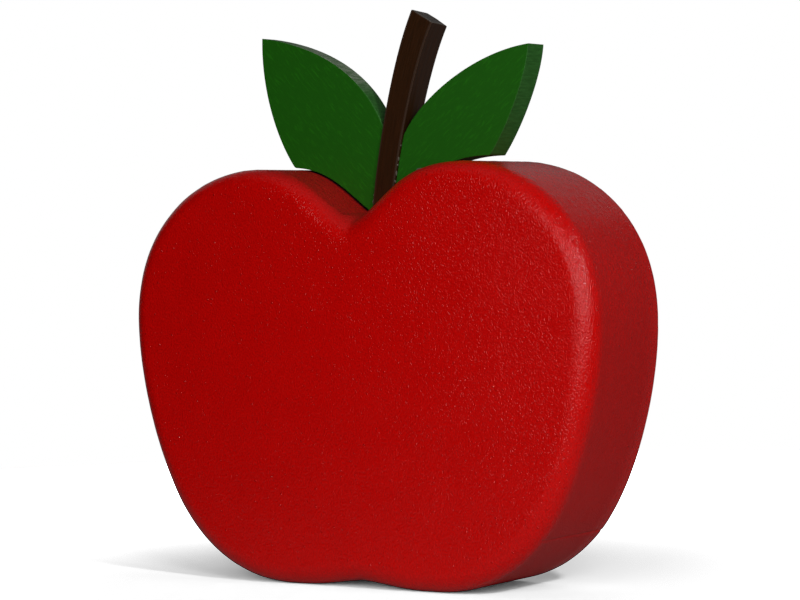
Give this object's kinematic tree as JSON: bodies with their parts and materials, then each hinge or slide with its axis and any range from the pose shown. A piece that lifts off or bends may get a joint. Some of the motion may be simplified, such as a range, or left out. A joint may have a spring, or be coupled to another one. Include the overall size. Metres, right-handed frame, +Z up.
{
  "type": "display apple",
  "caption": "Thick flat apple-shaped display prop with a rounded front edge, a curved square stem and pointed board leaves, standing on small flats.",
  "frame": {"origin": "on the standing surface, under the middle of the body: midway across its width and midway through its depth", "axes": "+X across the apple to the right as seen from the front, +Y from the front face towards the back, +Z up"},
  "size_m": [0.45, 0.1, 0.4594],
  "materials": {
    "body_coat": "satin red coating with fine orange-peel grain over rigid foam",
    "stem_stain": "dark brown stained wood, sawn end",
    "leaf_paint": "matt dark green brushed paint, sawn edges",
    "dowel_wood": "raw beech"
  },
  "bodies": {
    "root": {"apple_body": "body_coat", "stem": "stem_stain", "left_leaf": "leaf_paint", "right_leaf": "leaf_paint", "stem_dowel": "dowel_wood", "left_leaf_pin": "dowel_wood", "right_leaf_pin": "dowel_wood"}
  },
  "joints": []
}
